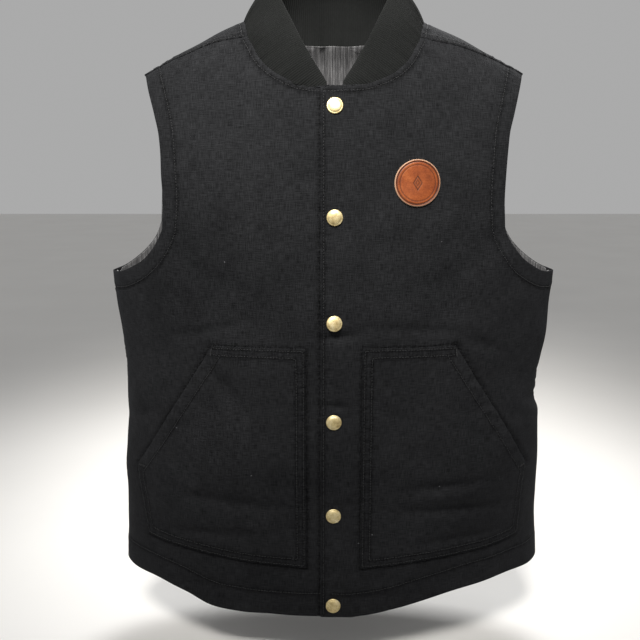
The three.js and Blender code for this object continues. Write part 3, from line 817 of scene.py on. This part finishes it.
def stitches(name, tree, rows, seed):
    """Short raised stitches along rows on a surface, as one piece."""
    draw = np.random.default_rng(seed)
    paths = [resample(row, STITCH_PITCH)[0] for row in rows]
    ways = unit(np.vstack([path[1:] - path[:-1] for path in paths]))
    found = [tree.find_nearest(point) for path in paths for point in (path[1:] + path[:-1]) / 2]
    centres, normals = (np.array([hit[part][:] for hit in found]) for part in (0, 1))
    ways = unit(ways - normals * np.sum(ways * normals, 1, keepdims=True))
    sides = unit(np.cross(ways, normals))
    ways = unit(ways + sides * draw.normal(0, 0.06, (len(ways), 1)))
    sides = unit(np.cross(ways, normals))
    # Rings of one stitch: along, up, radius
    rings = [(-1.36, -0.22, 0.2), (-0.85, 0.16, 0.34), (0.85, 0.16, 0.34), (1.36, -0.22, 0.2)]
    corners = 5
    points = []
    for along, up, radius in rings:
        for k in range(corners):
            angle = 2 * math.pi * k / corners
            lift = normals * (up + radius * math.cos(angle))
            points.append(centres + ways * along + lift + sides * radius * math.sin(angle))
    count = len(points)
    points = np.stack(points, 1).reshape(-1, 3)
    index = np.arange(count).reshape(-1, corners)
    quads = [between(lower, upper)[:, [0, 3, 2, 1]] for lower, upper in zip(index[:-1], index[1:])]
    last = count - corners
    fans = [tri for k in range(1, corners - 1) for tri in ((0, k + 1, k), (last, last + k, last + k + 1))]
    base = np.arange(len(centres))[:, None, None] * count
    quads = (np.vstack(quads)[None] + base).reshape(-1, 4)
    fans = (np.array(fans)[None] + base).reshape(-1, 3)
    make_object(name, points, [quads, fans], np.zeros((len(points), 2)), THREAD, ())


def lap_lift(sheet):
    share = (LAP_FADE_TO - sheet.points[:, 0]) / (LAP_FADE_TO - LAP_FADE_FROM)
    share = np.clip(share, 0, 1)
    return LAP_LIFT * share * share * (3 - 2 * share)


def snap_places():
    pitch = (LENGTH - SNAP_LAST_RISE - SNAP_FIRST_DROP) / (SNAP_COUNT - 1)
    return [-SNAP_FIRST_DROP - i * pitch for i in range(SNAP_COUNT)]


def dimples(sheet):
    """Presses the cloth in under each snap, with small folds round it."""
    shift = np.zeros(len(sheet.points))
    for i, z in enumerate(snap_places()):
        across, up = sheet.points[:, 0], sheet.points[:, 2] - z
        away = np.hypot(across, up)
        angle = np.arctan2(up, across)
        shift -= 0.7 * hill(away, 11)
        shift += 0.22 * np.cos(3 * angle + i) * hill(away - 14, 6)
    sheet.move(shift)


def pocket_place(hand, drop, share, level):
    low = np.maximum(0, (drop - POCKET_SLANT) / (POCKET_DEPTH - POCKET_SLANT))
    reach = np.where(
        drop < POCKET_SLANT,
        mix(POCKET_TOP_WIDTH, POCKET_WIDTH, drop / POCKET_SLANT),
        mix(POCKET_WIDTH, POCKET_FOOT_WIDTH, low),
    )
    z = -POCKET_TOP - drop + low * POCKET_BOTTOM_RISE * share
    x = hand * (POCKET_INNER + share * reach)
    points, normal = torso_place(x, z, -1)
    return points + normal * np.asarray(level)[..., None], x, z


def pocket_rim(hand):
    """Lines on the front just outside a pocket's edges: the mouth, and the sewn sides. The front is grooved along
    them and painted with shade beside them.
    """
    run = np.linspace(0, 1, 80)
    beside = 1.2
    wide = beside / POCKET_WIDTH
    legs = [
        (-beside, 1 - run),
        (mix(0, POCKET_DEPTH, run), -wide),
        (POCKET_DEPTH + beside, run),
        (mix(POCKET_DEPTH, POCKET_SLANT, run), 1 + wide),
    ]
    sewn = [pocket_place(hand, *np.broadcast_arrays(drop, share), 0.0)[0] for drop, share in legs]
    mouth = pocket_place(hand, POCKET_SLANT * run, np.full(80, 1 + 2.6 * wide), 0.0)[0]
    return mouth, sewn


def front_panel(name, hand):
    sheet = Sheet()
    parts = half_panel(sheet, -1, hand, -OVERLAP_HALF)
    rows = [
        inset(sheet, parts["armhole"], ARM_TURN),
        inset(sheet, parts["neck"], NECK_TURN),
        inset(sheet, parts["hem"][4:], HEM_TURN),
    ]
    if hand > 0:
        rows.append(inset(sheet, parts["front_edge"], FRONT_TURN))
    swell(sheet, parts["armhole"], ARM_TURN, 0.6)
    swell(sheet, parts["hem"], HEM_TURN, 0.5)
    dimples(sheet)
    sew(sheet, rows, seed=5 + hand)
    mouth, sewn = pocket_rim(hand)
    # The mouth of the left pocket gapes further than that of the right one, with a deeper groove and a wider band
    # of painted shadow beside it
    depth, shade_band, width = (4.0, 4.2, 4.2) if hand > 0 else (1.6, 3, 3.2)
    sew(sheet, [mouth], depth, 0.5, 9, 71 + hand, shade_band, width)
    sew(sheet, sewn, pucker=0.3, seed=81 + hand)
    if hand < 0:
        # The shadow line beside the edge of the left front: a shallow groove, with painted shadow along it
        heights = np.linspace(-LENGTH * 0.995, -NECK_DROP, 200)
        sew(sheet, [front_place(-OVERLAP_HALF - 1.5, heights)[0]], depth=0.7, pucker=0.2, seed=91)
    lift = lap_lift(sheet) if hand > 0 else 0.0
    wall(name, sheet, lift, lift - CLOTH, CANVAS)
    tree = sheet.tree(lift)
    stitches(f"stitches_{name}", tree, rows, 20 + hand)
    return sheet, parts, tree


def back_panel():
    sheet = Sheet()
    right = half_panel(sheet, 1, -1, 0.0)
    left = half_panel(sheet, 1, 1, 0.0, right)
    rows = []
    for parts in (right, left):
        rows.append(inset(sheet, parts["armhole"], ARM_TURN))
        rows.extend(inset(sheet, parts["shoulder"][2:-2], distance) for distance in SHOULDER_ROWS)
        rows.extend(inset(sheet, parts["side"], distance) for distance in SIDE_ROWS)
    neck, hem = (np.concatenate([right[edge][::-1], left[edge][1:]]) for edge in ("neck", "hem"))
    rows.append(inset(sheet, neck, NECK_TURN))
    rows.append(inset(sheet, hem, HEM_TURN))
    for parts in (right, left):
        swell(sheet, parts["armhole"], ARM_TURN, 0.6)
        swell(sheet, parts["shoulder"], 9, 1.0)
    swell(sheet, hem, HEM_TURN, 0.5)
    # The stitch rows sink the cloth and get painted shade beside them
    sew(sheet, rows, seed=9)
    wall("back_panel", sheet, 0.0, -CLOTH, CANVAS)
    stitches("stitches_back_panel", sheet.tree(), rows, 31)
    return sheet, right, left


FRONT_RIGHT = front_panel("front_panel_right", -1)
FRONT_LEFT = front_panel("front_panel_left", 1)
BACK = back_panel()


# Lining
def every_second(first, last):
    return np.unique(np.append(np.arange(first, last + 1, 2), last))


def lining(name, sheet, halves, first):
    """A slack sheet inside a panel, from every second point of its grids."""
    thin = Sheet()
    normal = sheet.frames()[0]
    held = {}
    for parts in halves:
        chest_columns = every_second(first, BODY_COLUMNS)
        columns = np.append(chest_columns, every_second(BODY_COLUMNS + 2, BODY_COLUMNS + FOOT_COLUMNS))
        torso_rows = every_second(TORSO_ROWS // 11, TORSO_ROWS)
        chest_rows = every_second(0, len(parts["chest"]) - 1)
        for field, rows, chosen in (("torso", torso_rows, columns), ("chest", chest_rows, chest_columns)):
            index = parts[field][np.ix_(rows, chosen)]
            known = np.array([[held.get(int(i), -1) for i in line] for line in index])
            places = sheet.points[index] - normal[index] * LINING_DEPTH
            made = thin.grid(places, sheet.uv[index], parts["flip"], known)
            held.update(zip(index.ravel().tolist(), made.ravel().tolist()))
    normals, off, start, _ = thin.frames()
    away, _ = nearest(thin.points[np.unique(start)], thin.points)
    slack = 1 - hill(away, 22)
    neck = np.concatenate([sheet.points[parts["neck"]] for parts in halves])
    by_neck = nearest(resample(neck, 2.0)[0], thin.points)[0]
    sides = np.concatenate([sheet.points[parts["side"]] for parts in halves])
    by_side = nearest(sides, thin.points)[0]
    inside = 2.6 * hill(by_neck, 13)
    thin.points = thin.points - normals * inside[:, None] - off * (3.0 * (by_side < 6))[:, None]
    # Beside the side seams the deep folds turn the normals about, so the lining is drawn in along x there
    thin.points[:, 0] -= np.sign(thin.points[:, 0]) * 4.0 * hill(by_side, 12)
    wrinkles = ripple(thin.points, 47, 40, 24, 90, 0.7) - 1.3
    thin.points = thin.points + normals * (slack * wrinkles)[:, None]
    wall(name, thin, LINING / 2, -LINING / 2, GREY)


lining("lining_front_right", FRONT_RIGHT[0], [FRONT_RIGHT[1]], 8)
lining("lining_front_left", FRONT_LEFT[0], [FRONT_LEFT[1]], 8)
lining("lining_back", BACK[0], [BACK[1], BACK[2]], 0)


# Rib knit collar
RIB_PITCH = 2.3
RIB_COLUMNS = 6
COLLAR_ROWS = 20


def both_halves(values, flip=1):
    """Rows from the front to centre back, and on to the front of the other half."""
    return np.concatenate([values, values[::-1][1:] * flip])


def collar():
    index = np.linspace(0, NECK_BACK_LAST, 2601)
    across, sweep, inward, aft, rise = neck_at(index)
    seam, normal = chest_place(NECK_HALF * across, sweep, -1)
    lean = np.stack([-inward, aft, rise], -1) * COLLAR_HEIGHT
    top = seam - normal * 0.5 * KNIT + lean
    run = lengths_along(top)
    ribs = int(round(run[-1] / RIB_PITCH))
    at = np.linspace(0, run[-1], ribs * RIB_COLUMNS + 1)
    pick = np.searchsorted(run, at).clip(0, len(index) - 1)
    way = unit(np.gradient(top, axis=0))[pick]
    # The seam point square below each rib's top
    lows = np.arange(0, len(index), 4)
    gap = np.einsum("ijk,ik->ij", seam[lows][None] - top[pick][:, None], way)
    far = np.abs(lows[None] - pick[:, None]) > 900
    foot = np.maximum.accumulate(lows[np.argmin(np.abs(gap) + 1e6 * far, axis=1)].astype(float))
    kernel = np.hanning(41)
    padded = np.pad(foot, 20, mode="reflect", reflect_type="odd")
    foot = np.convolve(padded, kernel / kernel.sum(), "valid").clip(0, len(index) - 1)
    foot[-1] = len(index) - 1
    # Short columns close the front end, from the seam to the first whole rib
    extra = 10
    lead = np.linspace(0.1, 1, extra, endpoint=False)
    foot = np.concatenate([foot[0] * lead, foot])
    low = foot.round().astype(int)
    seam_at, normal_at = seam[low], normal[low]
    along = unit(np.gradient(seam, axis=0))[low]
    into = unit(np.cross(normal_at, along))
    into *= np.sign(np.sum(into * lean[low].clip(-99, 99), 1, keepdims=True) + 1e-9)
    first_top = seam[0] - normal[0] * 0.5 * KNIT
    top_at = np.concatenate([mix(first_top, top[0], lead[:, None]), top[pick]])
    rise_at = np.concatenate([np.full(extra, rise[0]), rise[pick]])
    base = seam_at - into * 1.2 - normal_at * COLLAR_DEPTH
    facing = np.cross(along, unit(top_at - base))
    facing = unit(facing * np.sign(np.sum(facing * normal_at, 1, keepdims=True)))
    share = np.linspace(0, 1, COLLAR_ROWS + 1)
    swing = 4 * COLLAR_BULGE * rise_at[:, None] * (share * (1 - share))[None]
    points = mix(base[:, None], top_at[:, None], share[None, :, None]) + facing[:, None] * swing[..., None]
    # Uneven pull of the ribs, and the seam's small waves
    phase = np.arange(len(points)) / RIB_COLUMNS
    tug = 0.35 * np.sin(phase * 2 * math.pi / 7.3) + 0.25 * np.sin(phase * 2 * math.pi / 4.1 + 1)
    points += facing[:, None] * (tug[:, None] * (1 - share)[None] ** 2)[..., None]
    whole = both_halves(points, (-1, 1, 1))
    phases = both_halves(phase - extra / RIB_COLUMNS)
    ahead = np.concatenate([np.zeros(extra), at])
    lengths = np.concatenate([ahead, 2 * run[-1] - ahead[::-1][1:]])
    sheet = Sheet()
    heights = np.linalg.norm(whole - whole[:, :1], axis=2)
    uv = np.stack([np.broadcast_to(lengths[:, None], heights.shape), heights], -1)
    sheet.grid(whole, uv, False)
    outward = np.repeat(both_halves(facing, (-1, 1, 1)), COLLAR_ROWS + 1, 0)
    if np.sum(sheet.frames()[0] * outward) < 0:
        sheet.quads = sheet.quads[:, ::-1]
    wave = (0.5 + 0.5 * np.cos(2 * math.pi * phases)) ** 0.7
    fade = np.ones(COLLAR_ROWS + 1)
    fade[-2:] = 0.85, 0.45
    outer = 1.0 + 0.5 * (wave[:, None] * fade[None]).ravel()
    inner = -1.0 - 0.5 * (fade[None] * (1 - wave[:, None])).ravel()
    wall("collar_rib", sheet, outer, inner, RIB)


collar()


# Pockets
def pocket(name, hand, opening):
    rows, columns = 108, 76
    drop = np.linspace(0, POCKET_DEPTH, rows + 1)[:, None]
    share = np.linspace(0, 1, columns + 1)[None, :]
    drop, share = np.broadcast_arrays(drop, share)
    down = drop / POCKET_DEPTH
    belly = POCKET_BELLY * (4 * down * (1 - down)) ** 0.6 * np.sin(np.pi * share) ** 0.6
    along = np.minimum(1, drop / POCKET_SLANT)
    inward = (1 - share) * (POCKET_TOP_WIDTH + (POCKET_WIDTH - POCKET_TOP_WIDTH) * along)
    mouth = opening * np.sin(np.pi * along) * hill(inward, 26)
    waver = np.sin(2 * np.pi * drop / 17 + 1.3 * hand) + 0.6 * np.sin(2 * np.pi * drop / 27.3 + hand)
    mouth = mouth + (0.7 if hand > 0 else 0.5) * np.sin(np.pi * along) * waver * hill(inward, 12)
    level = 1.0 + belly + np.maximum(mouth, 0)
    points, x, z = pocket_place(hand, drop, share, level)
    sheet = Sheet()
    index = sheet.grid(points, torso_uv(x, z), hand > 0)
    slant_last = int(round(rows * POCKET_SLANT / POCKET_DEPTH))
    lower = index[slant_last:, -1]
    round_sewn = np.concatenate([index[0][::-1], index[1:, 0], index[-1][1:], lower[::-1][1:]])
    rows_sewn = [offset_loop(sheet, round_sewn, distance) for distance in POCKET_ROWS]
    slant = inset(sheet, index[: slant_last + 1, -1], MOUTH_TURN)
    # The sewn rows and the slant sink the cloth, pucker it and get painted shade beside them
    sew(sheet, rows_sewn, pucker=0.45, reach=6.5, seed=40 + hand)
    sew(sheet, [slant], depth=0.4, pucker=0.5 if hand > 0 else 0.3, reach=9, seed=45 + hand, shade_band=1.6)
    wall(name, sheet, CLOTH / 2, -CLOTH / 2, CANVAS)
    # Bars of short stitches at the two ends of the mouth
    bars = []
    for at_top in (True, False):
        for k in range(BAR_STITCHES):
            here = 1.5 + 0.95 * k if at_top else POCKET_SLANT - 2
            place = np.array(1.0 - 0.012 - 0.0042 * k)
            bars.append(np.stack([pocket_place(hand, np.array(here + up), place, 1.6)[0] for up in (1.0, 3.8)]))
    stitches(f"stitches_{name}", sheet.tree(CLOTH / 2), [*rows_sewn, slant, *bars], 50 + hand)


def offset_loop(sheet, edge, distance):
    """A stitch path with square corners, at a distance inside the sewn sides of a pocket."""
    path = sheet.points[edge]
    off = sheet.frames()[1]
    way = unit(path[1:] - path[:-1])
    turn = np.sum(way[1:] * way[:-1], 1) < 0.8
    breaks = [0, *(np.nonzero(turn)[0] + 1).tolist(), len(path) - 1]
    tree = sheet.tree()
    legs = []
    for first, last in zip(breaks[:-1], breaks[1:]):
        leg = edge[first : last + 1]
        outward = unit(off[leg])
        outward[0], outward[-1] = outward[1], outward[-2]
        moved = sheet.points[leg] - outward * distance
        keep = np.linalg.norm(moved - moved[0], axis=1) > distance if first else np.ones(len(moved), bool)
        if last < len(path) - 1:
            keep &= np.linalg.norm(moved - moved[-1], axis=1) > distance
        legs.append(moved[keep])
    whole = np.concatenate(legs)
    return np.array([tree.find_nearest(p)[0][:] for p in whole])


pocket("pocket_right", -1, 1.4)
pocket("pocket_left", 1, 3.6)


# Leather patch
def patch():
    spokes, rings = 120, 44
    radius = np.concatenate([np.linspace(0, 0.9, rings - 10), np.linspace(0.9, 1, 11)[1:]]) * PATCH_RADIUS
    angle = np.arange(spokes) * 2 * math.pi / spokes
    share = radius / PATCH_RADIUS

    def groove(at, width):
        return hill(share - at, width)

    dome = PATCH_THICKNESS * np.clip((1 - share) / 0.035, 0, 1) ** 0.5
    cut = -0.7 * groove(0.9, 0.026) + 0.15 * groove(0.85, 0.02) - 0.3 * groove(0.76, 0.013)
    height = np.where(share < 1, 0.55 + 0.45 * dome / PATCH_THICKNESS, 0.55) * PATCH_THICKNESS + cut
    across = radius[:, None] * np.cos(angle)[None]
    up = radius[:, None] * np.sin(angle)[None]
    lozenge = np.abs(across) / 4.6 + np.abs(up) / 7.4
    line = hill(lozenge - 1, 0.15)
    inner_line = hill(lozenge - 0.42, 0.17)
    height = height[:, None] - 0.3 * line - 0.2 * inner_line * (radius[:, None] < 6)
    # Where the patch's colour is darkened: its grooves and lozenge lines
    groove_darkening = 1.5 * groove(0.905, 0.026)[:, None] + 0.95 * groove(0.77, 0.017)[:, None] + line + 0.7 * inner_line
    rim = np.broadcast_to(np.clip((share - 0.95) / 0.015, 0, 1)[:, None], across.shape)
    base, normal = front_place(PATCH_ACROSS + across, up - PATCH_DROP)
    lead = normal[0, 0]
    top = base + lead * (0.3 + height)[..., None]
    under = base[-1] + lead * 0.15
    points = np.concatenate([top.reshape(-1, 3), under, (base[0, :1] + lead * 0.15)])
    first = np.arange(rings)[:, None] * spokes + np.arange(spokes)[None]
    low = rings * spokes + np.arange(spokes)
    quads = [between(upper, lower) for upper, lower in zip(first[1:], [*first[2:], low])]
    tris = [fan(first[0, 0], first[1]), fan(len(points) - 1, low)[:, [0, 2, 1]]]
    used = np.ones(len(points), bool)
    used[first[0, 1:]] = False
    renumber = np.cumsum(used) - 1
    values = [np.concatenate([v.ravel(), np.full(spokes + 1, v[-1, 0])])[used] for v in (groove_darkening, rim)]
    uv = np.concatenate([np.stack([across, up], -1).reshape(-1, 2), np.zeros((spokes + 1, 2))])
    faces = [renumber[np.vstack(quads)], renumber[np.vstack(tris)]]
    values = zip(("groove_darkening", "cut_edge"), values)
    make_object("leather_patch", points[used], faces, uv[used], LEATHER, ["leather_patch"], values)


patch()

# Snaps: radius and height of the cap's and stud's profiles, as shares
CAP_PROFILE = [
    (0, 1), (0.2, 0.99), (0.42, 0.95), (0.6, 0.87), (0.72, 0.77), (0.79, 0.69), (0.82, 0.645), (0.845, 0.62),
    (0.875, 0.615), (0.91, 0.6), (0.95, 0.55), (0.985, 0.46), (1, 0.34), (0.99, 0.2), (0.95, 0.08), (0.9, 0),
]
STUD_PROFILE = [
    (0, 0.55), (0.2, 0.55), (0.3, 0.62), (0.36, 0.9), (0.42, 1), (0.52, 1), (0.58, 0.9), (0.62, 0.55),
    (0.8, 0.5), (0.93, 0.45), (1, 0.3), (1, 0.1), (0.96, 0),
]


def turned(name, profile, radius, height, seat, axis):
    """A lathe piece on its seat, with a smoothed profile."""
    spokes = 56
    profile = np.array(profile, float)
    run = np.arange(len(profile), dtype=float)
    fine = np.linspace(0, run[-1], 3 * len(profile))
    smooth = [read(np.column_stack([run, profile]), column, fine) for column in (1, 2)]
    away = np.array([axis[1], -axis[0], 0.0]) if abs(axis[2]) < 0.9 else np.array([1.0, 0, 0])
    first = unit(np.cross(axis, away))
    second = np.cross(axis, first)
    angle = np.arange(spokes) * 2 * math.pi / spokes
    circle = np.cos(angle)[:, None] * first + np.sin(angle)[:, None] * second
    points = [seat + axis * smooth[1][0] * height]
    for r, h in zip(smooth[0][1:], smooth[1][1:]):
        points.extend(seat + axis * h * height + circle * max(r, 0) * radius)
    points.append(seat + axis * smooth[1][-1] * height)
    points = np.array(points)
    rings = len(fine) - 1
    index = 1 + np.arange(rings)[:, None] * spokes + np.arange(spokes)[None]
    quads = np.vstack([between(upper, lower) for upper, lower in zip(index[:-1], index[1:])])
    tris = np.vstack([fan(0, index[0]), fan(len(points) - 1, index[-1])[:, [0, 2, 1]]])
    make_object(name, points, [quads, tris], points[:, [0, 2]], BRASS, [name])


def snaps():
    inner_tree = FRONT_RIGHT[0].tree(-CLOTH)
    for i, z in enumerate(snap_places()):
        place, normal = front_place(0.0, z)
        cap_seat, cap_axis, _, _ = FRONT_LEFT[2].find_nearest(place + normal * LAP_LIFT)
        stud_seat, _, _, _ = inner_tree.find_nearest(place - normal * CLOTH)
        axis = unit(np.array(cap_axis[:]))
        seat = np.array(cap_seat[:]) + axis * 0.2
        turned(f"snap_cap_{i + 1}", CAP_PROFILE, SNAP_RADIUS, SNAP_HEIGHT, seat, axis)
        seat = np.array(stud_seat[:]) + normal * 0.1
        turned(f"snap_stud_{i + 1}", STUD_PROFILE, STUD_RADIUS, STUD_HEIGHT, seat, -normal)


snaps()


# Studio
def studio():
    mesh = bpy.data.meshes.new("floor")
    half, level = 8.0, -0.775
    corners = [(half * across, half * along, level) for across, along in ((-1, -1), (1, -1), (1, 1), (-1, 1))]
    mesh.from_pydata(corners, [], [(0, 1, 2, 3)])
    floor = add_to_scene("floor", mesh)
    nodes = Nodes("pale_floor")
    soft = nodes.noise(nodes.place(), 3.0, 4.0)
    nodes.set(Base_Color=nodes.ramp(soft, (0.3, (0.74, 0.73, 0.71)), (0.7, (0.77, 0.76, 0.74))))
    nodes.set(Roughness=0.8)
    mesh.materials.append(nodes.material)

    world = bpy.data.worlds.new("studio")
    bpy.context.scene.world = world
    world.use_nodes = True
    sky = world.node_tree.nodes["Background"].inputs
    sky["Color"].default_value = (0.9, 0.9, 0.9, 1)
    sky["Strength"].default_value = 0.45
    bpy.context.scene.view_settings.view_transform = "Standard"

    def lamp(name, place, target, size, power, color, spread):
        light = bpy.data.lights.new(name, "AREA")
        light.spread = math.radians(spread)
        light.shape = "RECTANGLE"
        light.size, light.size_y = size
        light.energy = power
        light.color = color
        holder = add_to_scene(name, light)
        holder.location = place
        way = np.array(target) - np.array(place)
        tilt = math.acos(-way[2] / np.linalg.norm(way))
        holder.rotation_euler = (tilt, 0, math.atan2(way[1], way[0]) - math.pi / 2)

    lamp("key", (-0.2, -1.0, 1.05), (-0.03, 0, -0.05), (0.8, 0.6), 6.0, (1.0, 0.97, 0.93), 37)
    lamp("back", (0.3, 1.2, 1.0), (0, 0, -0.2), (1.1, 0.8), 9, (1.0, 1.0, 1.0), 80)

    eye = bpy.data.cameras.new("camera")
    eye.lens = 42.19
    eye.sensor_width = 36.0
    eye.clip_start = 0.02
    camera = add_to_scene("camera", eye)
    camera.location = (-0.016, -0.939, -0.158)
    camera.rotation_euler = (math.radians(78), 0, 0)
    bpy.context.scene.camera = camera


studio()
